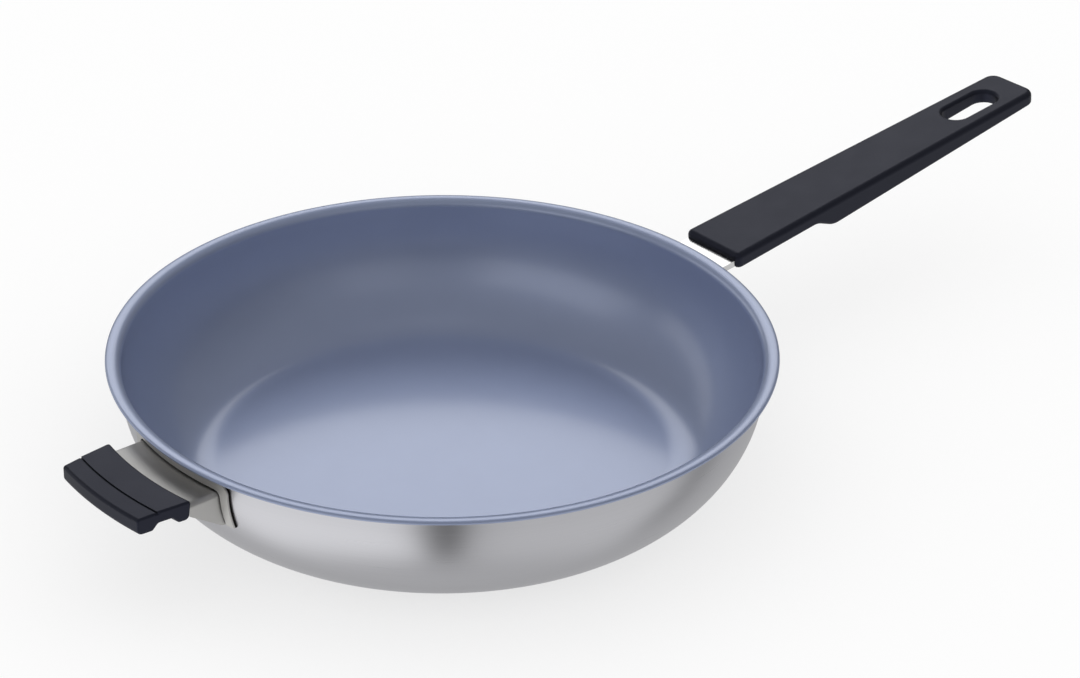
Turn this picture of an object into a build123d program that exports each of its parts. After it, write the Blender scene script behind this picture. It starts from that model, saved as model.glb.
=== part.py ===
from build123d import *
import math
import os

# Frying pan with a long grip and a helper grip, in millimetres.
# The origin is on the pan's axis at the table, +Z is up and +X runs out along the long grip.

# Pan shell, pressed from one steel sheet: a flat floor, a curved wall and a flared pouring lip
wall_radius = 140.5
wall_curve_radius = 54.6
crease_angle = 23.7
straight_wall = 4.3
sheet = 1.0
floor_fillet = 32.0
lip_roll_radius = 2.0
lip_rise_angle = 7.0
lip_flat = 3.1

# Ceramic layer on the inside, over the lip and round its cut edge
coating = 0.3

# Encapsulated base: an aluminium core in a shallow steel cap
core_thickness = 4.0
cap_sheet = 0.6
base_setback = 8.3
base_edge_radius = 1.8
core_side_gap = 0.05

# Long grip, measured in its own frame: along its straight top, across it and down from it
grip_gap = 14.4
grip_drop = 3.2
grip_slope = 6.7
grip_length = 209.4
grip_front_width = 35.6
grip_tip_width = 29.2
grip_front_depth = 7.4
grip_neck_depth = 7.0
grip_tip_depth = 6.8
belly_start = 53.5
belly_ramp = 10.6
belly_depth = 12.5
belly_blend_radius = 12.0
grip_front_corner = 3.0
grip_tip_corner = 6.0
grip_top_round = 2.6
grip_bottom_round = 1.5

# Hanging slot, with solid grip left between it and the tip
slot_tip_margin = 16.2
slot_length = 33.4
slot_width = 13.8
slot_round = 1.8

# Long strap: a foot that is welded on the wall, a bend and a tang that runs into the grip
strap_width = 31.0
strap_thickness = 3.0
strap_bend_radius = 3.0
strap_crown_radius = 3.2
foot_height = 26.0
foot_corner = 6.0
tang_depth = 3.4
tang_length = 100.0
tang_tip_width = 18.0
tang_tip_corner = 4.0

# Screw of the long grip, from below through the belly into the tapped tang, set back from its end
screw_setback = 24.0
screw_diameter = 5.0
screw_head_diameter = 9.4
screw_head_height = 2.3
screw_seat = 2.0
screw_dome = 1.4
lock_washer_diameter = 8.4
lock_washer_thickness = 1.0

# Helper grip, an arc round the pan's axis on the side away from the long grip
helper_gap = 9.9
helper_depth = 23.9
helper_inner_half_width = 29.6
helper_outer_half_width = 27.2
helper_drop = 6.2
helper_leg_depth = 8.4
helper_leg_width = 5.8
helper_leg_lean = 1.2
helper_web_depth = 5.4
helper_bulge_depth = 8.2
helper_bulge_width = 6.8
helper_recess_slant = 2.6
helper_step_place = 8.4
helper_step = 0.35
helper_fall = 0.3
helper_groove_depth = 0.7
helper_groove_width = 0.7
helper_top_round = 1.4
helper_leg_round = 2.2
helper_recess_round = 1.6
helper_bulge_round = 2.4
helper_end_round = 1.0

# Helper bracket, drawn from one sheet: a top plate, two sides and a welded flange round them,
# with a groove pressed into the flange where they meet it
bracket_sheet = 1.5
bracket_half_width = 27.6
bracket_fold_radius = 2.4
seam_groove_width = 0.8
seam_groove_depth = 0.8
plate_drop = 8.8
side_depth_at_wall = 16.3
side_depth_at_grip = 5.8
flange_width = 4.8
flange_top_gap = 1.0
flange_corner = 4.0
tongue_half_width = 19.0
tongue_length = 15.0
tongue_corner = 4.0

# Helper screw, from below through the boss into the tongue's drawn and tapped collar
helper_screw_place = 10.6
helper_screw_diameter = 4.0
helper_head_diameter = 7.0
helper_head_height = 1.5
helper_screw_dome = 0.9
helper_washer_diameter = 6.6
helper_washer_thickness = 0.8
helper_screw_seat = 1.5
collar_wall = 1.2
collar_height = 1.4
boss_diameter = 11.0

# Cross drive in both screw heads
drive_span = 4.4
drive_width = 1.1
drive_depth = 0.9

# Cut through both spring washers
washer_split = 0.8
washer_split_tilt = 35.0

# Clearances between pieces, and how near an edge's middle has to lie to count as found
weld_gap = 0.05
socket_gap = 0.15
screw_clearance = 0.25
head_clearance = 0.45
thread_gap = 0.05
near = 0.02

# Heights and radii of the pan that follow from its sizes
rise = math.radians(lip_rise_angle)
crease = math.radians(crease_angle)
base_thickness = core_thickness + cap_sheet
curve_r = wall_radius - wall_curve_radius
curve_z = base_thickness + wall_curve_radius * math.cos(crease)
roll_r = wall_radius + lip_roll_radius
roll_z = curve_z + straight_wall
edge_radius = sheet / 2 + coating
edge_r = roll_r - (lip_roll_radius + sheet / 2) * math.sin(rise) + lip_flat * math.cos(rise)
edge_z = roll_z + (lip_roll_radius + sheet / 2) * math.cos(rise) + lip_flat * math.sin(rise)
rim_radius = edge_r + edge_radius
rim_z = edge_z + edge_radius
base_radius = curve_r + wall_curve_radius * math.sin(crease) - base_setback

# The long grip's own frame: its front end on the top face, X along the top and Z square to it
slope = math.radians(grip_slope)
grip_x = rim_radius + grip_gap
slot_centre = grip_length - slot_tip_margin - slot_length / 2
screw_place = tang_length - screw_setback
grip_frame = Plane(
    origin=(grip_x, 0, rim_z - grip_drop),
    x_dir=(math.cos(slope), 0, math.sin(slope)),
    z_dir=(-math.sin(slope), 0, math.cos(slope)),
)

# The helper side is modelled outwards along +X and then turned half round
helper_turn = Rot(0, 0, 180)
helper_inner_r = rim_radius + helper_gap
helper_outer_r = helper_inner_r + helper_depth
helper_top = rim_z - helper_drop
plate_z = rim_z - plate_drop


def turned(*edges):
    """A closed outline of radius and height, turned once round the pan's axis."""
    return revolve(Plane.XZ * make_face(Wire(list(edges))), Axis.Z)


def arc(centre, radius, start, end):
    """An arc about a centre from one angle to another, in degrees."""
    return CenterArc(centre, radius, start, end - start)


def outline_face(corners):
    """A closed outline from its corners, each a point with its own radius."""
    points = [point for point, radius in corners]
    radii = [radius for point, radius in corners]
    return make_face(FilletPolyline(*points, radius=radii, close=True))


def upward(radius, height):
    return Cylinder(radius, height, align=(Align.CENTER, Align.CENTER, Align.MIN))


def downward(radius, height):
    return Cylinder(radius, height, align=(Align.CENTER, Align.CENTER, Align.MAX))


def shell_line(depth):
    """The line parallel to the pan's outside at a depth into the wall, from the axis to the lip's end.

    On every such line the floor fillet is tangent to the floor and to the curved wall, so its centre
    is fixed.
    """
    fillet_z = base_thickness + sheet + floor_fillet
    reach = wall_curve_radius - sheet - floor_fillet
    tangent = -math.degrees(math.asin((curve_z - fillet_z) / reach))
    fillet_r = curve_r + reach * math.cos(math.radians(tangent))
    corner = arc((fillet_r, fillet_z), floor_fillet + sheet - depth, -90, tangent)
    wall = arc((curve_r, curve_z), wall_curve_radius - depth, tangent, 0)
    roll = arc((roll_r, roll_z), lip_roll_radius + depth, 180, 90 + lip_rise_angle)
    lip_end = roll @ 1 + Vector(lip_flat * math.cos(rise), lip_flat * math.sin(rise))
    return [
        Line((0, base_thickness + depth), corner @ 0),
        corner,
        wall,
        Line(wall @ 1, roll @ 0),
        roll,
        Line(roll @ 1, lip_end),
    ]


def lip_edge(radius):
    """The half round over the lip's cut edge."""
    return arc((edge_r, edge_z), radius, lip_rise_angle - 90, lip_rise_angle + 90)


def make_pan_body():
    outside = shell_line(0)
    inside = shell_line(sheet)
    return turned(*outside, lip_edge(sheet / 2), *inside, Line(inside[0] @ 0, outside[0] @ 0))


def make_ceramic_coating():
    under = shell_line(sheet)
    over = shell_line(sheet + coating)
    bare_edge = lip_edge(sheet / 2)
    coated_edge = lip_edge(edge_radius)
    foot = Line(bare_edge @ 0, coated_edge @ 0)
    return turned(*under, bare_edge, foot, coated_edge, *over, Line(over[0] @ 0, under[0] @ 0))


def make_base_cap():
    """A shallow cup that holds the core and closes against the shell's floor."""
    corner = (base_radius - base_edge_radius, base_edge_radius)
    outer = arc(corner, base_edge_radius, -90, 0)
    inner = arc(corner, base_edge_radius - cap_sheet, -90, 0)
    rim_points = Polyline(
        outer @ 1, (base_radius, base_thickness), (base_radius - cap_sheet, base_thickness), inner @ 1)
    return turned(
        Line((0, 0), outer @ 0),
        outer,
        *rim_points.edges(),
        inner,
        Line(inner @ 0, (0, cap_sheet)),
        Line((0, cap_sheet), (0, 0)),
    )


def make_base_core():
    """The disc that spreads the heat, flat against the shell's floor and filling the cap."""
    radius = base_radius - cap_sheet - core_side_gap
    corner = base_edge_radius - cap_sheet
    lower = arc((radius - corner, base_edge_radius), corner, -90, 0)
    side = Polyline(lower @ 1, (radius, base_thickness), (0, base_thickness), (0, cap_sheet), lower @ 0)
    return turned(lower, *side.edges())


def wall_body(offset, low_z):
    """All that lies inside the pan's outer wall grown by an offset, from a height up to the lip's roll."""
    radius = wall_curve_radius + offset
    low_angle = -math.degrees(math.asin((curve_z - low_z) / radius))
    wall = arc((curve_r, curve_z), radius, low_angle, 0)
    rest = Polyline(wall @ 1, (wall_radius + offset, roll_z), (0, roll_z), (0, low_z), wall @ 0)
    return turned(wall, *rest.edges())


def wall_pad(outline, low_z, thickness):
    """A sheet that lies on the wall's outside, cut to an outline seen along the handles' axis."""
    skin = wall_body(weld_gap + thickness, low_z) - wall_body(weld_gap, low_z)
    return skin & extrude(Plane.YZ * outline, rim_radius)


def tang_outline(clearance, reach):
    """The tang's plan: the strap's width up to the grip's front, then a taper to its end."""
    wide = strap_width / 2 + clearance
    narrow = tang_tip_width / 2 + clearance
    end = tang_length + clearance
    return outline_face([
        ((-reach, -wide), 0),
        ((0, -wide), 0),
        ((end, -narrow), tang_tip_corner),
        ((end, narrow), tang_tip_corner),
        ((0, wide), 0),
        ((-reach, wide), 0),
    ])


def tang_slab(clearance, reach, thickness):
    """The tang in the grip's frame, or its socket when given a clearance over it and round it."""
    plan = Pos(0, 0, clearance - tang_depth) * tang_outline(clearance, reach)
    return extrude(plan, -(thickness + clearance))


def make_handle_bracket():
    """The foot on the wall and the tang meet in a bend, round below and fuller on top."""
    bend_x = wall_radius + weld_gap + strap_thickness
    reach = (grip_x - wall_radius) / math.cos(slope)
    top_z = rim_z - grip_drop - tang_depth / math.cos(slope) - (grip_x - bend_x) * math.tan(slope)
    foot_z = top_z - foot_height
    half = strap_width / 2
    outline = outline_face([
        ((-half, foot_z), foot_corner),
        ((half, foot_z), foot_corner),
        ((half, rim_z), 0),
        ((-half, rim_z), 0),
    ])
    over_tang = Pos(-reach, 0, -tang_depth) * Box(
        2 * reach, 2 * strap_width, foot_height, align=(Align.CENTER, Align.CENTER, Align.MIN))
    foot = wall_pad(outline, foot_z, strap_thickness) - grip_frame * over_tang
    tang = tang_slab(0, reach, strap_thickness) - Pos(screw_place, 0, -tang_depth) * Cylinder(
        screw_diameter / 2 + thread_gap, 4 * strap_thickness)
    strap = foot + (grip_frame * tang - wall_body(weld_gap, foot_z))

    def across(edge, x, z):
        """True for an edge over the whole strap that runs through a place."""
        middle = edge.position_at(0.5)
        beside = abs(middle.X - x) < strap_thickness / 2 and abs(middle.Z - z) < strap_thickness / 2
        return beside and edge.length > strap_width - strap_thickness

    inside_bend = strap.edges().filter_by(lambda edge: across(edge, bend_x, top_z - strap_thickness))
    strap = fillet(inside_bend, strap_bend_radius)
    outside_bend = strap.edges().filter_by(lambda edge: across(edge, bend_x - strap_thickness, top_z))
    return fillet(outside_bend, strap_crown_radius)


def grip_side():
    """The long grip's side view: a straight top over a belly that steps down and thins to the tip."""
    front = (0, -grip_front_depth)
    tip = (grip_length, -grip_tip_depth)
    corners = [(belly_start, -grip_neck_depth), (belly_start + belly_ramp, -belly_depth)]
    lower = FilletPolyline(front, *corners, tip, radius=belly_blend_radius)
    return make_face(lower + Polyline(tip, (grip_length, 0), (0, 0), front))


def is_underside_rim(edge):
    """True for the long grip's lower rim, and false for its upright and its crosswise edges."""
    middle = edge.position_at(0.5)
    low = middle.Z < -min(grip_tip_depth, grip_neck_depth) + near
    crosswise = abs(middle.Y) < near and near < middle.X < grip_length - near
    return low and not crosswise


def is_slot_mouth(edge):
    """True for the slot's rims on the top and on the underside of the long grip."""
    middle = edge.position_at(0.5)
    inside = abs(middle.X - slot_centre) < slot_length / 2 + near and abs(middle.Y) < slot_width / 2 + near
    return inside and (middle.Z > -near or middle.Z < -grip_tip_depth)


def screw_seat_frame():
    """Where the long grip's washer bears, with the screw pointing up into the tang."""
    return grip_frame * Pos(screw_place, 0, -tang_depth - strap_thickness - screw_seat)


def make_handle_grip():
    """The moulded grip: its plan and side view crossed and rounded, then its slot, socket and well."""
    half_front = grip_front_width / 2
    half_tip = grip_tip_width / 2
    plan = outline_face([
        ((0, -half_front), grip_front_corner),
        ((grip_length, -half_tip), grip_tip_corner),
        ((grip_length, half_tip), grip_tip_corner),
        ((0, half_front), grip_front_corner),
    ])
    body = extrude(Plane.XZ * grip_side(), grip_front_width, both=True) & extrude(plan, -2 * belly_depth)
    body = fillet(body.edges().filter_by_position(Axis.Z, -near, near), grip_top_round)
    body = fillet(body.edges().filter_by(is_underside_rim), grip_bottom_round)
    body -= extrude(Pos(slot_centre, 0, 0) * SlotOverall(slot_length, slot_width), -2 * belly_depth)
    body = fillet(body.edges().filter_by(is_slot_mouth), slot_round)
    open_front = Box(2 * belly_start, 2 * grip_front_width, 4 * belly_depth)
    body -= tang_slab(socket_gap, grip_gap, strap_thickness)
    body -= tang_slab(socket_gap, grip_gap, 2 * belly_depth) & open_front
    grip = grip_frame * body
    grip -= screw_seat_frame() * Cylinder(screw_diameter / 2 + screw_clearance, 4 * screw_seat)
    return grip - screw_seat_frame() * downward(screw_head_diameter / 2 + head_clearance, belly_depth)


def pan_head_screw(diameter, length, head_diameter, head_height, dome):
    """A screw with its shank up from the origin and its domed, cross-driven head below."""
    head = downward(head_diameter / 2, head_height)
    head = fillet(head.edges().sort_by(Axis.Z)[0], dome)
    slot = Box(drive_span, drive_width, 2 * drive_depth)
    cross = Pos(0, 0, -head_height) * (slot + Rot(0, 0, 90) * slot)
    return head + upward(diameter / 2, length) - cross


def lock_washer(screw, outer_diameter, thickness):
    """A spring washer that hangs under the origin round a screw, cut through on one side."""
    ring = downward(outer_diameter / 2, thickness) - Cylinder(screw / 2 + thread_gap, 4 * thickness)
    cut = Box(outer_diameter, washer_split, 8 * thickness)
    return ring - Pos(outer_diameter / 2, 0, -thickness / 2) * Rot(washer_split_tilt, 0, 0) * cut


def make_handle_screw():
    length = lock_washer_thickness + screw_seat + strap_thickness
    screw = pan_head_screw(screw_diameter, length, screw_head_diameter, screw_head_height, screw_dome)
    return screw_seat_frame() * Pos(0, 0, -lock_washer_thickness) * screw


def make_handle_lock_washer():
    return screw_seat_frame() * lock_washer(screw_diameter, lock_washer_diameter, lock_washer_thickness)


def helper_section():
    """The helper grip cut across its arc: a leg by the pan, a finger recess and a rounded outer roll."""
    leg_out = helper_inner_r + helper_leg_width
    roll_in = helper_outer_r - helper_bulge_width
    step_r = helper_outer_r - helper_step_place
    leg_z = helper_top - helper_leg_depth
    web_z = helper_top - helper_web_depth
    roll_low_z = helper_top - helper_bulge_depth
    groove_z = helper_top - helper_groove_depth
    return outline_face([
        ((helper_inner_r, helper_top), helper_top_round),
        ((helper_inner_r + helper_leg_lean, leg_z), helper_leg_round),
        ((leg_out, leg_z), helper_recess_round),
        ((leg_out + helper_recess_slant, web_z), helper_recess_round),
        ((roll_in - helper_recess_slant, web_z), helper_recess_round),
        ((roll_in, roll_low_z), helper_recess_round),
        ((helper_outer_r, roll_low_z), helper_bulge_round),
        ((helper_outer_r, helper_top - helper_step - helper_fall), helper_top_round),
        ((step_r, helper_top - helper_step), 0),
        ((step_r, groove_z), 0),
        ((step_r - helper_groove_width, groove_z), 0),
        ((step_r - helper_groove_width, helper_top), 0),
    ])


def helper_half_width(x):
    """Half the helper grip's width at a distance from the pan's axis: it narrows outwards."""
    inner_x = math.sqrt(helper_inner_r**2 - helper_inner_half_width**2)
    taper = (helper_inner_half_width - helper_outer_half_width) / helper_depth
    return helper_inner_half_width - taper * (x - inner_x)


def tongue_slab(clearance):
    """The bracket's tongue in the helper grip, or its socket when given a clearance all round."""
    length = 2 * (tongue_length + clearance)
    plan = RectangleRounded(length, 2 * (tongue_half_width + clearance), tongue_corner)
    return extrude(Pos(helper_inner_r, 0, plate_z + clearance) * plan, -(bracket_sheet + 2 * clearance))


def helper_screw_axis(z):
    return Pos(helper_inner_r + helper_screw_place, 0, z)


def helper_seat_z():
    """Height of the face that the helper screw's washer bears on."""
    return plate_z - bracket_sheet - helper_screw_seat


def make_helper_grip():
    """The section swept round the pan's axis, cut to its ends, with a boss and a socket for the bracket."""
    inner_x = helper_inner_r - helper_depth
    outer_x = helper_outer_r + helper_depth
    plan = make_face(Polyline(
        (inner_x, -helper_half_width(inner_x)),
        (outer_x, -helper_half_width(outer_x)),
        (outer_x, helper_half_width(outer_x)),
        (inner_x, helper_half_width(inner_x)),
        close=True,
    ))
    body = revolve(Plane.XZ * helper_section(), Axis.Z) & extrude(plan, 2 * rim_z)

    def at_an_end(edge):
        middle = edge.position_at(0.5)
        return abs(abs(middle.Y) - helper_half_width(middle.X)) < near

    body = fillet(body.edges().filter_by(at_an_end), helper_end_round)
    boss_height = helper_bulge_depth - helper_web_depth / 2
    body += helper_screw_axis(helper_top - helper_bulge_depth) * upward(boss_diameter / 2, boss_height)
    body -= tongue_slab(socket_gap)
    collar_radius = helper_screw_diameter / 2 + thread_gap + collar_wall
    body -= helper_screw_axis(plate_z) * upward(collar_radius + socket_gap, collar_height + socket_gap)
    body -= helper_screw_axis(helper_seat_z()) * Cylinder(
        helper_screw_diameter / 2 + screw_clearance, 4 * helper_screw_seat)
    well = downward(helper_head_diameter / 2 + head_clearance, helper_leg_depth)
    return helper_turn * (body - helper_screw_axis(helper_seat_z()) * well)


def pocket(inset):
    """The drawn pocket's outer form, the hollow under its sheet when inset, or a larger form when negative."""
    half = bracket_half_width - inset
    wall_x = math.sqrt(wall_radius**2 - bracket_half_width**2)
    grip_side_x = math.sqrt(helper_inner_r**2 - bracket_half_width**2)
    back_x = wall_x - 2 * flange_width
    front_x = grip_side_x + flange_width
    deeper = 2 * abs(inset)
    side = make_face(Polyline(
        (back_x, plate_z - inset),
        (front_x, plate_z - inset),
        (front_x, plate_z - side_depth_at_grip - deeper),
        (grip_side_x, plate_z - side_depth_at_grip - deeper),
        (wall_x, plate_z - side_depth_at_wall - deeper),
        (back_x, plate_z - side_depth_at_wall - deeper),
        close=True,
    ))
    block = extrude(Plane.XZ * side, half, both=True)
    folds = block.edges().filter_by(Axis.X).group_by(Axis.Z)[-1]
    return fillet(folds, bracket_fold_radius - inset)


def flange_outline():
    """The flange seen along the handles' axis: an arch round the pocket's mouth."""
    half = bracket_half_width + flange_width
    mouth = bracket_half_width - bracket_sheet
    low_z = plate_z - side_depth_at_wall
    top_z = roll_z - flange_top_gap
    mouth_z = plate_z - bracket_sheet
    mouth_corner = bracket_fold_radius - bracket_sheet
    outer = outline_face([
        ((-half, low_z), 0),
        ((half, low_z), 0),
        ((half, top_z), flange_corner),
        ((-half, top_z), flange_corner),
    ])
    inner = outline_face([
        ((-mouth, low_z - flange_width), 0),
        ((mouth, low_z - flange_width), 0),
        ((mouth, mouth_z), mouth_corner),
        ((-mouth, mouth_z), mouth_corner),
    ])
    return outer - inner


def make_helper_bracket():
    """The pocket stands out from its flange inside a groove, and its tongue carries the grip."""
    low_z = plate_z - side_depth_at_wall
    groove_floor = weld_gap + bracket_sheet - seam_groove_depth
    flange = wall_pad(flange_outline(), low_z, bracket_sheet)
    flange -= pocket(-seam_groove_width) - wall_body(groove_floor, low_z - flange_width)
    shell = (pocket(0) - pocket(bracket_sheet)) & Cylinder(helper_inner_r - socket_gap, 4 * rim_z)
    bracket = flange + (shell - wall_body(weld_gap, low_z - flange_width))
    hole_radius = helper_screw_diameter / 2 + thread_gap
    bracket += tongue_slab(0) - Cylinder(helper_inner_r - flange_width, 4 * rim_z)
    bracket += helper_screw_axis(plate_z) * upward(hole_radius + collar_wall, collar_height)
    return helper_turn * (bracket - helper_screw_axis(plate_z) * Cylinder(hole_radius, 4 * collar_height))


def make_helper_screw():
    length = helper_washer_thickness + helper_screw_seat + bracket_sheet + collar_height
    screw = pan_head_screw(
        helper_screw_diameter, length, helper_head_diameter, helper_head_height, helper_screw_dome)
    return helper_turn * helper_screw_axis(helper_seat_z() - helper_washer_thickness) * screw


def make_helper_lock_washer():
    washer = lock_washer(helper_screw_diameter, helper_washer_diameter, helper_washer_thickness)
    return helper_turn * helper_screw_axis(helper_seat_z()) * washer


pieces = {
    "pan_body": make_pan_body,
    "ceramic_coating": make_ceramic_coating,
    "base_core": make_base_core,
    "base_cap": make_base_cap,
    "handle_bracket": make_handle_bracket,
    "handle_grip": make_handle_grip,
    "handle_screw": make_handle_screw,
    "handle_lock_washer": make_handle_lock_washer,
    "helper_bracket": make_helper_bracket,
    "helper_grip": make_helper_grip,
    "helper_screw": make_helper_screw,
    "helper_lock_washer": make_helper_lock_washer,
}

os.makedirs("parts", exist_ok=True)
for node, make in pieces.items():
    shape = make()
    export_step(shape, f"parts/{node}.step")
    print(node, len(shape.solids()), "solid", round(shape.volume), "mm3")
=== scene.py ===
# %% [markdown]
# # A frying pan with a ceramic lining
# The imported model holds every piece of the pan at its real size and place. This lesson dresses it. The
# large turned surfaces are worked out again with numpy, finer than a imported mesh, because a satin metal
# shows every flat facet. Materials are made from nodes, and a quiet studio lights the whole.
# Lengths are named in millimetres, and become metres when a mesh is made.

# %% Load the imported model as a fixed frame
import math

import bmesh
import bpy
import numpy as np
from mathutils import Matrix, Vector


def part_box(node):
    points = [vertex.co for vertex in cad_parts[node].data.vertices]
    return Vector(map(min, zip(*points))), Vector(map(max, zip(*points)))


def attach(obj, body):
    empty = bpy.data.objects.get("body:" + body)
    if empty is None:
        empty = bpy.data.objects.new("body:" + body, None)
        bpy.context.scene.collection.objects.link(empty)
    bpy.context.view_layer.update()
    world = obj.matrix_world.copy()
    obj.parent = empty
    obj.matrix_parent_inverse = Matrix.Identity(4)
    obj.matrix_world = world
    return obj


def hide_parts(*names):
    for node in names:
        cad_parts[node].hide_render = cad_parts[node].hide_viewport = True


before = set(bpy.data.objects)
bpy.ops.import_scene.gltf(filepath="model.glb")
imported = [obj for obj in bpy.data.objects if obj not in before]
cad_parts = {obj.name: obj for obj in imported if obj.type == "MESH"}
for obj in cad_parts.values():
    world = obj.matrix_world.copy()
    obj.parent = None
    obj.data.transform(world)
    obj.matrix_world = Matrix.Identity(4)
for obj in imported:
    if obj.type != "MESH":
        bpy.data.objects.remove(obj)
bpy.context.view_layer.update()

mm = 0.001
scene = bpy.context.scene
print("packed nodes:", sorted(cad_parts))

# %% [markdown]
# ## The camera
# The photograph was taken with a long lens from the front and above, so the pan hardly narrows with
# distance. The camera could be turned by hand until it matches. Here it is built from its three
# directions, right, up and back, because then each angle is a value that can be read. The long grip
# points away to the right, so the picture's own directions are the pan's, turned about the upright axis.

# %% Camera at the photograph's viewing angle
picture_turn = math.radians(41.0)
camera_tilt = math.radians(28.87)
camera_roll = math.radians(-0.853)
camera_place = Vector((41.96, -1141.46, 694.25)) * mm
camera_lens = 100.0
camera_reach = 20.0


def camera_matrix():
    """Right, up and back as the columns of a turn: level right and tilted up, mixed by the roll."""
    level = Vector((1, 0, 0))
    tilted = Vector((0, math.sin(camera_tilt), math.cos(camera_tilt)))
    right = level * math.cos(camera_roll) - tilted * math.sin(camera_roll)
    up = level * math.sin(camera_roll) + tilted * math.cos(camera_roll)
    turn = Matrix((right, up, right.cross(up))).transposed().to_4x4()
    return Matrix.Rotation(-picture_turn, 4, "Z") @ Matrix.Translation(camera_place) @ turn


camera = bpy.data.objects.new("camera", bpy.data.cameras.new("camera"))
camera.data.lens = camera_lens
camera.data.clip_end = camera_reach
camera.matrix_world = camera_matrix()
scene.collection.objects.link(camera)
scene.camera = camera
print("camera at", [round(v, 3) for v in camera.matrix_world.translation])

# %% [markdown]
# ## Colours and nodes
# Colours are written as sRGB hex values, as a picture editor shows them, and one function turns them to
# the linear values that light adds up in. One helper adds any node, with its settings and its links.

# %% Colour and node helpers


def linear(hex_colour):
    """An sRGB hex colour as linear light: the low end is a straight line, the rest a power of 2.4."""
    value = np.array([int(hex_colour[i:i + 2], 16) for i in (1, 3, 5)]) / 255
    light = np.where(value <= 0.04045, value / 12.92, ((value + 0.055) / 1.055) ** 2.4)
    return (*light.tolist(), 1.0)


def add_node(tree, kind, inputs=None, **settings):
    """Adds a node. Each input is a value, or another node's output that is linked to it."""
    node = tree.nodes.new(kind)
    for name, value in settings.items():
        setattr(node, name, value)
    for socket, value in (inputs or {}).items():
        if isinstance(value, bpy.types.NodeSocket):
            tree.links.new(value, node.inputs[socket])
        else:
            node.inputs[socket].default_value = value
    return node


def new_material(name):
    """An empty material and its node tree."""
    material = bpy.data.materials.new(name)
    material.use_nodes = True
    material.node_tree.nodes.clear()
    return material, material.node_tree


print("mid grey #808080 is", round(linear("#808080")[0], 3), "in linear light")

# %% [markdown]
# ## The picture's directions
# The studio stands square to the camera, while the pan is turned in front of it. A place is easier to
# think of as right, away and up in the picture, and one turn about the upright axis carries it to the pan.

# %% Directions of the picture in the pan's frame


def in_picture(right, away, up):
    """A place given to the picture's right, away from the camera and up, in millimetres."""
    return Matrix.Rotation(-picture_turn, 4, "Z") @ (Vector((right, away, up)) * mm)


print("away from the camera is", [round(v, 3) for v in in_picture(0, 1, 0).normalized()])

# %% [markdown]
# ## The studio
# A product photograph of shiny things is mostly a picture of what surrounds them. Read back from the
# coating and the steel, this studio is dark towards the horizon, with a bright panel high behind the pan,
# softboxes to the left and right of the camera, a lit table sweep below and black cards that draw the
# dark patch on the front. Lamps and real cards would do the same by hand. As soft-edged flats painted on
# the world they cast no noise, so the picture stays clean.
#
# The open studio has a level for each height in degrees, from straight down to overhead. Each flat adds
# its level in a window: its bearing, half width and side softness, then its height, half height and
# softness above and below, all in degrees. A bearing is 0 towards the camera and grows to the left.

# %% What stands round the pan, and above and below it
open_studio = {-90: 0.60, -65: 0.50, -40: 0.54, -10: 0.52, 8: 0.08, 20: 0.20, 45: 0.22, 70: 0.20, 90: 0.32}
flats = {
    "rear panel": (1.44, 174.5, 18.5, 6, 36, 13, 10),
    "front left softbox": (0.50, 44, 31, 16, 30, 13, 12),
    "front right softbox": (0.18, -30, 16, 14, 32, 14, 10),
    "low panel far left": (0.62, 118, 28, 16, 12, 11, 10),
    "table sweep left": (0.54, 45, 52, 34, -40, 23, 24),
    "table sweep right": (0.19, -63, 48, 26, -42, 25, 25),
    "black card in front": (-0.84, -1.5, 8, 11, -25, 36, 25),
    "dark side of the room": (-0.08, -92, 26, 26, 22, 16, 14),
    "black card on the right": (-0.40, -104, 9, 15, -36, 20, 18),
}
darkest = 0.02
print("the studio has", len(flats), "flats")

# %% [markdown]
# ## Small steps for the world's nodes
# A world is painted by direction, so its nodes are sums over angles. Four small helpers keep the sums
# readable: one step of arithmetic, how far a direction points along an axis, a soft-edged window, and a
# grey as a colour.

# %% Steps of arithmetic


def calculate(tree, operation, *values):
    """One step of arithmetic between numbers and other nodes' outputs."""
    return add_node(tree, "ShaderNodeMath", dict(enumerate(values)), operation=operation).outputs[0]


def along(tree, direction, axis):
    """How far a direction points along an axis, from -1 to 1."""
    inputs = {0: direction, 1: axis}
    return add_node(tree, "ShaderNodeVectorMath", inputs, operation="DOT_PRODUCT").outputs["Value"]


def soft_edge(tree, distance, half_width, softness):
    """1 inside a half width and 0 outside it, with an edge that fades over the softness."""
    fade = softness / 2
    inputs = {"Value": distance, "From Min": half_width + fade, "From Max": half_width - fade}
    return add_node(tree, "ShaderNodeMapRange", inputs, interpolation_type="SMOOTHSTEP").outputs["Result"]


def grey(level):
    """A grey colour from one linear level."""
    return (level, level, level, 1)


# %% [markdown]
# ## The studio by direction
# The bearing comes from how far a direction points left and towards the camera, and the height from how
# far it points up. A colour ramp gives the open studio's level at that height, and a loop over the flats
# adds each one's window. A painted picture would do the same, and would need a file.

# %% Light for each direction


def direction_angles(tree):
    """Bearing and height in degrees: the arctangent of leftward over nearer, and the arcsine of upward."""
    direction = add_node(tree, "ShaderNodeTexCoord").outputs["Generated"]
    leftward = along(tree, direction, in_picture(-1, 0, 0).normalized())
    nearer = along(tree, direction, in_picture(0, -1, 0).normalized())
    upward = along(tree, direction, (0, 0, 1))
    bearing = calculate(tree, "DEGREES", calculate(tree, "ARCTAN2", leftward, nearer))
    return bearing, calculate(tree, "DEGREES", calculate(tree, "ARCSINE", upward))


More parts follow.
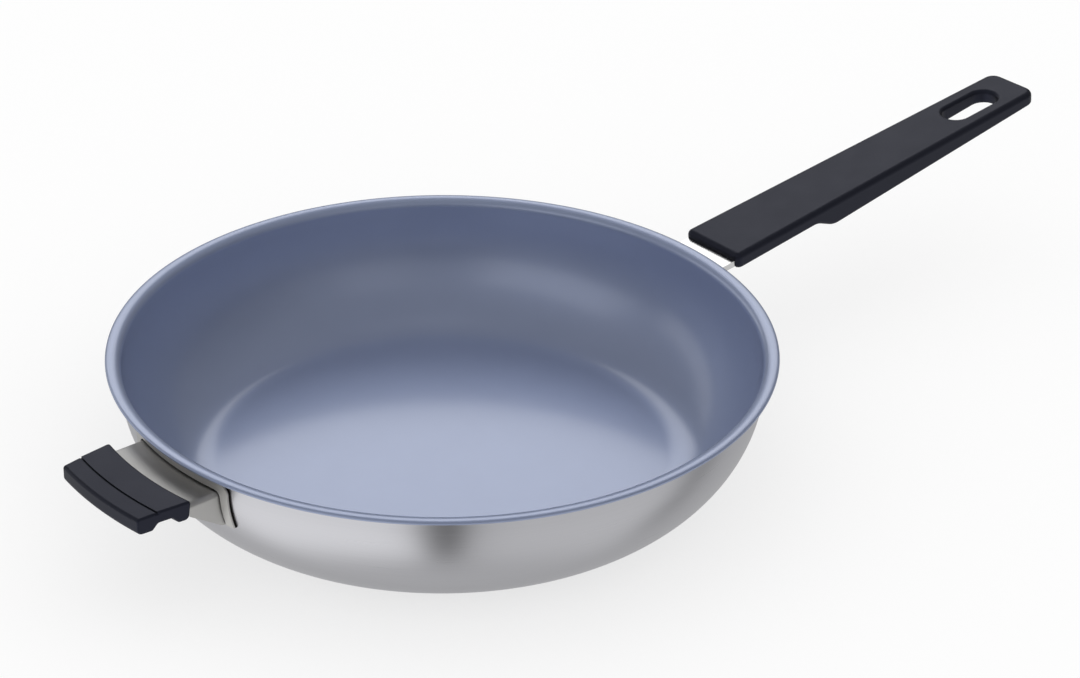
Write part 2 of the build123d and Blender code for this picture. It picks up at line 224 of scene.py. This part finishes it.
def open_level(tree, height):
    """The open studio's level at a height: its stops on a ramp that runs from -90 to 90 degrees."""
    share = calculate(tree, "DIVIDE", calculate(tree, "ADD", height, 90), 180)
    ramp = add_node(tree, "ShaderNodeValToRGB", {"Fac": share})
    stops = ramp.color_ramp.elements
    stops[0].color = grey(open_studio[-90])
    stops[1].color = grey(open_studio[90])
    for degrees, level in list(open_studio.items())[1:-1]:
        stops.new((degrees + 90) / 180).color = grey(level)
    return add_node(tree, "ShaderNodeSeparateColor", {0: ramp.outputs["Color"]}).outputs[0]


def studio_light(tree):
    """How bright the studio is in each direction: the open level plus each flat's level in its window."""
    bearing, height = direction_angles(tree)
    total = open_level(tree, height)
    for level, turn, half_width, side_softness, middle, half_height, softness in flats.values():
        turned = calculate(tree, "WRAP", calculate(tree, "SUBTRACT", bearing, turn), 180, -180)
        sideways = calculate(tree, "ABSOLUTE", turned)
        upwards = calculate(tree, "ABSOLUTE", calculate(tree, "SUBTRACT", height, middle))
        across = soft_edge(tree, sideways, half_width, side_softness)
        shape = calculate(tree, "MULTIPLY", across, soft_edge(tree, upwards, half_height, softness))
        total = calculate(tree, "MULTIPLY_ADD", shape, level, total)
    return calculate(tree, "MAXIMUM", total, darkest)


# %% [markdown]
# ## Who sees what
# The camera, and what shows through, sees plain white. What a surface mirrors is the studio. Matt
# surfaces get one even light instead, so their colours come out about as written. The world isn't sampled
# as a lamp: a lamp sample would take the matt light for a mirrored ray too, and blur the two together.
# The Standard view shows the light as it is, with no film curve, so white paper comes out white.

# %% World
backdrop_white = 1.0
soft_light = 1.0
world = bpy.data.worlds.new("studio")
world.use_nodes = True
world.cycles.sampling_method = "NONE"
scene.world = world
sky = world.node_tree
sky.nodes.clear()
rays = add_node(sky, "ShaderNodeLightPath").outputs
seen_straight = calculate(sky, "MAXIMUM", rays["Is Camera Ray"], rays["Is Transmission Ray"])
inputs = {0: seen_straight, 6: studio_light(sky), 7: grey(backdrop_white)}
mirrored = add_node(sky, "ShaderNodeMix", inputs, data_type="RGBA").outputs[2]
background = add_node(sky, "ShaderNodeBackground", {"Color": mirrored, "Strength": 1.0}).outputs[0]
soft = add_node(sky, "ShaderNodeBackground", {"Color": grey(soft_light), "Strength": 1.0}).outputs[0]
seen_or_mirrored = calculate(sky, "MAXIMUM", seen_straight, rays["Is Glossy Ray"])
surround = add_node(sky, "ShaderNodeMixShader", {0: seen_or_mirrored, 1: soft, 2: background})
add_node(sky, "ShaderNodeOutputWorld", {"Surface": surround.outputs[0]})
scene.view_settings.view_transform = "Standard"
print("world nodes:", len(sky.nodes))

# %% [markdown]
# ## The floor
# White paper under the pan keeps its soft shadow. Paper lit like everything else would come out a little
# grey, so the camera sees it part lit and part plain white. Brighter lamps would whiten it too, and burn
# out the steel. Metal does not mirror the sheet, because the table sweep is already painted on the world.

# %% Floor
floor_size = 6000
floor_white = "#fcfcfc"
floor_glow = 0.65
paper_roughness = 0.5


def white_paper():
    """Matt white paper. To the camera it is part lit, which keeps the shadow, and part plain white."""
    material, tree = new_material("white_paper")
    rays = add_node(tree, "ShaderNodeLightPath").outputs
    paper = {"Color": linear(floor_white), "Roughness": paper_roughness}
    matt = add_node(tree, "ShaderNodeBsdfDiffuse", paper).outputs[0]
    glow = add_node(tree, "ShaderNodeEmission", {"Color": grey(backdrop_white), "Strength": 1.0}).outputs[0]
    lifted = add_node(tree, "ShaderNodeMixShader", {0: floor_glow, 1: matt, 2: glow}).outputs[0]
    seen = add_node(tree, "ShaderNodeMixShader", {0: rays["Is Camera Ray"], 1: matt, 2: lifted})
    add_node(tree, "ShaderNodeOutputMaterial", {"Surface": seen.outputs[0]})
    return material


half = floor_size / 2 * mm
floor_mesh = bpy.data.meshes.new("floor")
floor_corners = [(-half, -half, 0), (half, -half, 0), (half, half, 0), (-half, half, 0)]
floor_mesh.from_pydata(floor_corners, [], [(0, 1, 2, 3)])
floor_mesh.materials.append(white_paper())
floor = bpy.data.objects.new("floor", floor_mesh)
floor.visible_glossy = False
scene.collection.objects.link(floor)
print("floor of", floor_size, "mm")

# %% [markdown]
# ## Materials
# Each finish starts from what the real thing is made of and how its surface was made. Patterns read
# Object coordinates, which are metres in the pan's frame, so a grain size in millimetres sets their scale.

# %% Pattern helpers


def texture_scale(size):
    """How many pattern cells of a size in millimetres go into one metre."""
    return 1 / (size * mm)


def blend_colours(tree, amount, first, second):
    """A mix of two sRGB hex colours. A colour mix takes them at inputs 6 and 7, and gives output 2."""
    inputs = {0: amount, 6: linear(first), 7: linear(second)}
    return add_node(tree, "ShaderNodeMix", inputs, data_type="RGBA").outputs[2]


def object_place(tree):
    """A point's place in metres from the pan's middle on the table."""
    return add_node(tree, "ShaderNodeTexCoord").outputs["Object"]


def axis_distance(tree, place):
    """How far a point is from the pan's upright axis: the length of its place with the height left out."""
    inputs = {0: place, 1: (1, 1, 0)}
    flat = add_node(tree, "ShaderNodeVectorMath", inputs, operation="MULTIPLY").outputs["Vector"]
    return add_node(tree, "ShaderNodeVectorMath", {0: flat}, operation="LENGTH").outputs["Value"]


def noise(tree, place, grain, detail=2.0):
    """A noise whose cells have a size in millimetres."""
    inputs = {"Vector": place, "Scale": texture_scale(grain), "Detail": detail}
    return add_node(tree, "ShaderNodeTexNoise", inputs).outputs["Fac"]


def map_range(tree, value, low, high):
    """Carries a pattern from 0..1 to a range of the finish, such as its roughness."""
    inputs = {"Value": value, "To Min": low, "To Max": high}
    return add_node(tree, "ShaderNodeMapRange", inputs).outputs["Result"]


def bumped(tree, height, depth):
    """A normal that is bent by a pattern, with its depth in millimetres."""
    inputs = {"Height": height, "Distance": depth * mm, "Strength": 1.0}
    return add_node(tree, "ShaderNodeBump", inputs).outputs["Normal"]


def principled(tree, inputs):
    """The one shader of a material, joined to its output."""
    shader = add_node(tree, "ShaderNodeBsdfPrincipled", inputs)
    add_node(tree, "ShaderNodeOutputMaterial", {"Surface": shader.outputs[0]})
    print(tree.name, "with", len(tree.nodes), "nodes")


# %% [markdown]
# ## The ceramic lining
# The lining is a sol-gel glass with pearl flakes in it, sprayed on grit-blasted steel and fired. The flakes
# shine like a blurred metal and the pigment between them is matt, so Metallic stands between the two. The
# smooth glassy skin on top is the Coat, which draws the narrow bright streaks in the corner of the floor.
# A mix of two shaders could do this, and one Principled shader needs fewer numbers. The slow cloud is the
# spray's unevenness, and the fine peel keeps a highlight's edge from looking printed.

# %% Ceramic lining
spray_cloud = 18.0
spray_peel = 0.9


def sprayed_ceramic():
    """Sol-gel ceramic with pearl pigment, sprayed and fired: satin, blue-grey, with a faint orange peel."""
    material, tree = new_material("sprayed_ceramic")
    place = object_place(tree)
    cloud = noise(tree, place, spray_cloud)
    peel = noise(tree, place, spray_peel)
    principled(tree, {
        "Base Color": blend_colours(tree, cloud, "#9ba7c6", "#9fabca"),
        "Metallic": 0.68,
        "Roughness": 0.45,
        "Normal": bumped(tree, peel, 0.001),
        "Coat Weight": 1.0,
        "Coat Roughness": 0.16,
        "Coat IOR": 1.6,
    })
    return material


ceramic = sprayed_ceramic()

# %% [markdown]
# ## The steels
# The shell is brushed while it turns, so its scratches run round the pan and a highlight spreads up and
# down across them. Anisotropic shading gives that spread, and rings of noise give the brushing itself.
# Small parts are polished or tumbled, with no direction. The rings would really be ten times finer: drawn
# at 0.3 mm they still blend in the picture without flickering.

# %% Stainless steel
ring_width = 0.3
ring_length = 60.0
sheet_cloud = 9.0


def ring_lines(tree, width, length):
    """Rings round the pan's axis: a noise over radius and height, which changes slowly along each ring."""
    place = object_place(tree)
    radius = axis_distance(tree, place)
    axes = add_node(tree, "ShaderNodeSeparateXYZ", {"Vector": place}).outputs
    ratio = width / length
    slow_x = calculate(tree, "MULTIPLY", axes["X"], ratio)
    slow_y = calculate(tree, "MULTIPLY", axes["Y"], ratio)
    inputs = {"X": radius, "Y": axes["Z"], "Z": slow_x}
    lines = add_node(tree, "ShaderNodeCombineXYZ", inputs).outputs["Vector"]
    inputs = {"Vector": lines, "W": slow_y, "Scale": texture_scale(width), "Detail": 3.0}
    return add_node(tree, "ShaderNodeTexNoise", inputs, noise_dimensions="4D").outputs["Fac"]


def brushed_round(name, light, dark, low, high):
    """Steel brushed while it turns: its rings spread a highlight along the pan's height."""
    material, tree = new_material(name)
    lines = ring_lines(tree, ring_width, ring_length)
    tangent = add_node(tree, "ShaderNodeTangent", direction_type="UV_MAP").outputs["Tangent"]
    principled(tree, {
        "Base Color": blend_colours(tree, lines, dark, light),
        "Metallic": 1.0,
        "Roughness": map_range(tree, lines, low, high),
        "Anisotropic": 0.6,
        "Anisotropic Rotation": 0.25,
        "Tangent": tangent,
        "Normal": bumped(tree, lines, 0.002),
    })
    return material


def plain_steel(name, light, dark, grain, low, high, depth):
    """Sheet steel that is polished or tumbled after it is formed, with a fine even grain."""
    material, tree = new_material(name)
    place = object_place(tree)
    cloud = noise(tree, place, sheet_cloud)
    fine = noise(tree, place, grain)
    principled(tree, {
        "Base Color": blend_colours(tree, cloud, dark, light),
        "Metallic": 1.0,
        "Roughness": map_range(tree, cloud, low, high),
        "Normal": bumped(tree, fine, depth),
    })
    return material


shell_steel = brushed_round("brushed_shell_steel", "#d4d4d9", "#cacace", 0.24, 0.36)
turned_steel = brushed_round("turned_base_steel", "#bdbbb8", "#a9a7a4", 0.26, 0.40)
strap_steel = plain_steel("polished_strap_steel", "#e4e4e4", "#dcdcdc", 0.2, 0.14, 0.22, 0.001)
screw_steel = plain_steel("bright_screw_steel", "#c8c6c4", "#bcbab8", 0.2, 0.2, 0.3, 0.001)
core_metal = plain_steel("rolled_aluminium", "#d6d8da", "#cdcfd1", 0.3, 0.3, 0.4, 0.002)

# %% [markdown]
# ## The grips
# Phenolic resin is pressed in a hot mould whose walls are spark-eroded, so the grip comes out matt with a
# fine even grain. It is nearly black: what one sees is mostly a weak, cool, blurred reflection, which a
# low IOR and a cool specular tint give. A plain dark grey would look like painted wood instead.

# %% Phenolic grips
resin_cloud = 14.0
mould_grain = 0.45


def moulded_phenolic():
    """Phenolic resin from a spark-eroded mould: charcoal, matt, with a fine even grain."""
    material, tree = new_material("moulded_phenolic")
    place = object_place(tree)
    cloud = noise(tree, place, resin_cloud)
    grain = noise(tree, place, mould_grain, detail=1.0)
    principled(tree, {
        "Base Color": blend_colours(tree, cloud, "#14151a", "#17181d"),
        "Roughness": map_range(tree, cloud, 0.40, 0.48),
        "IOR": 1.45,
        "Specular Tint": linear("#c8d0ff"),
        "Normal": bumped(tree, grain, 0.02),
    })
    return material


phenolic = moulded_phenolic()

# %% [markdown]
# ## Turned surfaces
# The shell, its lining and the base are one profile each, turned round the pan's axis. A Screw or Spin
# would do the same by hand. Here a profile is a list of points in radius and height, joined from straight
# and round stretches.

# %% Stretches of a profile
same_point = 1e-6


def arc(centre, radius, start, end, steps):
    """Points round a centre: centre plus radius times (cos a, sin a), from start to end in degrees."""
    a = np.radians(np.linspace(start, end, steps + 1))
    return np.array(centre) + radius * np.stack([np.cos(a), np.sin(a)], axis=-1)


def straight(start, end, steps):
    """Evenly spaced points from start to end: start plus t times the way, with t from 0 to 1."""
    t = np.linspace(0, 1, steps + 1)[:, None]
    return np.array(start) + t * (np.array(end) - np.array(start))


def joined(*stretches):
    """Stretches end to end, with each point that repeats the one before it left out."""
    points = np.concatenate(stretches)
    step = np.linalg.norm(np.diff(points, axis=0), axis=1)
    return points[np.concatenate([[True], step > same_point])]


# %% [markdown]
# ## From a profile to a piece
# On a numpy grid each row is a ring of the profile and each column a place on the turn, so the whole
# surface is two arrays multiplied. Its UV map follows the turn, which tells the steel how it was brushed.
# Rings that shrink to the axis are merged to one point, so that every pole is closed.

# %% Profile pieces
turns = 288
merge_distance = 0.001
sharp_angle = 40


def grid_faces(rows, columns):
    """The corners of every quad of a grid of rings, with the last column joined to the first."""
    row, column = np.meshgrid(np.arange(rows - 1), np.arange(columns), indexing="ij")
    after = (column + 1) % columns
    corners = [row * columns + column, row * columns + after,
               (row + 1) * columns + after, (row + 1) * columns + column]
    return np.stack(corners, axis=-1).reshape(-1, 4)


def make_piece(name, points, faces, uv, material, node):
    """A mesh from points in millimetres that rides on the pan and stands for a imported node."""
    mesh = bpy.data.meshes.new(name)
    mesh.from_pydata((points * mm).tolist(), [], faces.tolist())
    mesh.uv_layers.new(name="along_and_across").data.foreach_set("uv", uv.astype(np.float32).ravel())
    mesh.materials.append(material)
    piece = bpy.data.objects.new(name, mesh)
    scene.collection.objects.link(piece)
    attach(piece, "root")
    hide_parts(node)
    return piece


def weld_and_smooth(piece):
    """Merges points that share a place, such as a pole's, and shades smooth up to the sharp angle."""
    work = bmesh.new()
    work.from_mesh(piece.data)
    bmesh.ops.remove_doubles(work, verts=work.verts, dist=merge_distance * mm)
    bmesh.ops.dissolve_degenerate(work, edges=work.edges, dist=merge_distance / 2 * mm)
    work.to_mesh(piece.data)
    work.free()
    piece.data.shade_smooth()
    piece.data.set_sharp_from_angle(angle=math.radians(sharp_angle))


def turn_profile(name, profile, material, node):
    """A profile of (r, z) turned round Z: each point goes to (r cos a, r sin a, z) for every angle a."""
    a = np.linspace(0, 2 * np.pi, turns, endpoint=False)
    r, z = profile[:, :1], profile[:, 1:]
    points = np.stack([r * np.cos(a), r * np.sin(a), z + 0 * a], axis=-1).reshape(-1, 3)
    faces = grid_faces(len(profile), turns)
    length = np.concatenate([[0], np.cumsum(np.linalg.norm(np.diff(profile, axis=0), axis=1))])
    row, column = np.meshgrid(np.arange(len(profile) - 1), np.arange(turns), indexing="ij")
    u = np.stack([column, column + 1, column + 1, column], axis=-1) / turns
    v = length[np.stack([row, row, row + 1, row + 1], axis=-1)] / length[-1]
    weld_and_smooth(make_piece(name, points, faces, np.stack([u, v], axis=-1), material, node))
    print(name, len(profile), "rings of", turns, "points")


# %% [markdown]
# ## The pan's sizes
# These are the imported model's own sizes, and two are read from its boxes. The lip is the one form that
# the scene draws softer: packed, it is a short straight flare, while the real pouring lip is crowned, so
# that it catches a bright line between two dark ones. Its crown starts where the roll turns 25 degrees up
# and ends 11 degrees down, and its radius follows from how far out the lip has to reach.

# %% Sizes of the pan
base_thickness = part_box("pan_body")[0].z / mm
wall_radius = 140.5
wall_curve = 54.6
crease_angle = 23.7
straight_wall = 4.3
sheet = 1.0
coating = 0.3
floor_fillet = 32.0
lip_roll = 2.0
lip_start = 115.0
lip_end = 79.0
lip_reach = 2.77

curve_r = wall_radius - wall_curve
curve_z = base_thickness + wall_curve * math.cos(math.radians(crease_angle))
roll_centre = np.array((wall_radius + lip_roll, curve_z + straight_wall))
start_way, end_way = arc((0, 0), 1, lip_start, lip_end, 1)
crown = (lip_reach - lip_roll * start_way[0] - sheet / 2 * end_way[0]) / (end_way[0] - start_way[0])
crown_centre = roll_centre + start_way * (lip_roll - crown)
edge_centre = crown_centre + end_way * (crown + sheet / 2)
packed_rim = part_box("ceramic_coating")[1].x / mm
print("rim radius", round(edge_centre[0] + sheet / 2 + coating, 2), "mm, packed", round(packed_rim, 2))

# %% [markdown]
# ## The shell and its lining
# The shell is one sheet pressed over a die, so its inside follows its outside at the sheet's thickness.
# One function draws the outside moved inwards by a depth, and serves the steel's two faces and the
# ceramic's two. A Solidify on a single sheet would do it too, but would round the cut edge badly.

# %% The shell's profile


def wall_line(depth):
    """The pan's outside moved inwards by a depth: floor, corner, wall arc, straight, roll, crowned lip.

    The corner arc is tangent to the floor and to the wall arc at every depth, so its centre stays put.
    """
    fillet_z = base_thickness + sheet + floor_fillet
    reach = wall_curve - sheet - floor_fillet
    tangent = -math.degrees(math.asin((curve_z - fillet_z) / reach))
    fillet_r = curve_r + reach * math.cos(math.radians(tangent))
    corner = arc((fillet_r, fillet_z), floor_fillet + sheet - depth, -90, tangent, 14)
    wall = arc((curve_r, curve_z), wall_curve - depth, tangent, 0, 48)
    roll = arc(roll_centre, lip_roll + depth, 180, lip_start, 12)
    lip = arc(crown_centre, crown + depth, lip_start, lip_end, 12)
    floor = straight((0, base_thickness + depth), corner[0], 16)
    return joined(floor, corner, wall, straight(wall[-1], roll[0], 3), roll, lip)


def lip_edge(radius):
    """The half round over the lip's cut edge, from below to above."""
    return arc(edge_centre, radius, lip_end - 180, lip_end, 10)


outside = wall_line(0)
inside = wall_line(sheet)
shell_profile = joined(outside, lip_edge(sheet / 2), inside[::-1])
turn_profile("pan_shell", shell_profile, shell_steel, "pan_body")

lining_face = wall_line(sheet + coating)
lining_edge = lip_edge(sheet / 2 + coating)
lining_profile = joined(inside, lip_edge(sheet / 2)[::-1], lining_edge, lining_face[::-1])
turn_profile("ceramic_lining", lining_profile, ceramic, "ceramic_coating")

# %% [markdown]
# ## The base
# A shallow cup of magnetic steel holds the aluminium core against the shell. It is turned flat at the end,
# which leaves rings under the pan. Its rounded edge is the fine bright line just above the table.

# %% The base
cap_sheet = 0.6
base_edge = 1.8
base_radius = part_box("base_cap")[1].x / mm
corner = (base_radius - base_edge, base_edge)
cap_profile = joined(
    straight((0, 0), (base_radius - base_edge, 0), 20),
    arc(corner, base_edge, -90, 0, 10),
    straight((base_radius, base_edge), (base_radius, base_thickness), 3),
    straight((base_radius, base_thickness), (base_radius - cap_sheet, base_thickness), 1),
    straight((base_radius - cap_sheet, base_thickness), (base_radius - cap_sheet, base_edge), 3),
    arc(corner, base_edge - cap_sheet, 0, -90, 8),
    straight((base_radius - base_edge, cap_sheet), (0, cap_sheet), 20),
)
turn_profile("turned_base_cup", cap_profile, turned_steel, "base_cap")

# %% [markdown]
# ## The helper's bracket
# The bracket is drawn from sheet, tumbled and welded to the wall. Its pressed seam and the edge of its
# flange get painted shade: the crease and the gap at the wall hold little light, so the colour there is
# blended to near black. Both lie closer to the wall than the flange's face, so one measure, the distance
# from the wall, tells where the painted shade goes. Painting two lines by hand would look the same, and
# would miss them when a size changes.

# %% The bracket's steel with painted seam shade
painted_shade_below = 0.75
unshaded_above = 1.0
tumbled_grain = 0.25


def wall_distance(tree):
    """How many mm a point stands outside the wall, by its distance from the middle of the wall's arc."""
    inputs = {0: object_place(tree), "Scale": 1 / mm}
    place = add_node(tree, "ShaderNodeVectorMath", inputs, operation="SCALE").outputs["Vector"]
    radius = axis_distance(tree, place)
    height = add_node(tree, "ShaderNodeSeparateXYZ", {"Vector": place}).outputs["Z"]
    outwards = calculate(tree, "SUBTRACT", radius, curve_r)
    below = calculate(tree, "MINIMUM", calculate(tree, "SUBTRACT", height, curve_z), 0.0)
    square = calculate(tree, "MULTIPLY_ADD", below, below, calculate(tree, "MULTIPLY", outwards, outwards))
    return calculate(tree, "SUBTRACT", calculate(tree, "SQRT", square), wall_curve)


def welded_bracket():
    """Tumbled sheet steel with painted shade: near black where it lies close to the pan, in its seam and at
    its edge.
    """
    material, tree = new_material("bracket_steel_painted_seam_shade")
    place = object_place(tree)
    cloud = noise(tree, place, sheet_cloud)
    fine = noise(tree, place, tumbled_grain)
    # Painted shade: within about a millimetre of the wall, in the seam and at the flange's edge, the steel
    # turns near black.
    inputs = {"Value": wall_distance(tree), "From Min": painted_shade_below, "From Max": unshaded_above}
    unshaded_share = add_node(tree, "ShaderNodeMapRange", inputs, interpolation_type="SMOOTHSTEP").outputs["Result"]
    steel = blend_colours(tree, cloud, "#cccbc9", "#d5d4d2")
    # The near-black colour is painted shade for the seam and the flange's edge, not a stain.
    inputs = {0: unshaded_share, 6: linear("#1c1a1a"), 7: steel}
    steel_with_painted_shade = add_node(tree, "ShaderNodeMix", inputs, data_type="RGBA").outputs[2]
    principled(tree, {
        "Base Color": steel_with_painted_shade,
        "Metallic": 1.0,
        "Roughness": map_range(tree, cloud, 0.46, 0.54),
        "Normal": bumped(tree, fine, 0.002),
    })
    return material


bracket_steel = welded_bracket()

# %% [markdown]
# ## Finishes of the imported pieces
# The grips, brackets, screws, washers and the core are fine enough as packed, with their own rounded
# edges and normals. They keep their meshes and only change material, which keeps them true to the CAD.

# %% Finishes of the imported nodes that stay
finishes = {
    "base_core": core_metal,
    "handle_bracket": strap_steel,
    "handle_grip": phenolic,
    "handle_screw": screw_steel,
    "handle_lock_washer": screw_steel,
    "helper_bracket": bracket_steel,
    "helper_grip": phenolic,
    "helper_screw": screw_steel,
    "helper_lock_washer": screw_steel,
}
for node, material in finishes.items():
    for material_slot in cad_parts[node].material_slots:
        material_slot.material = material
    print(node, "gets", material.name)
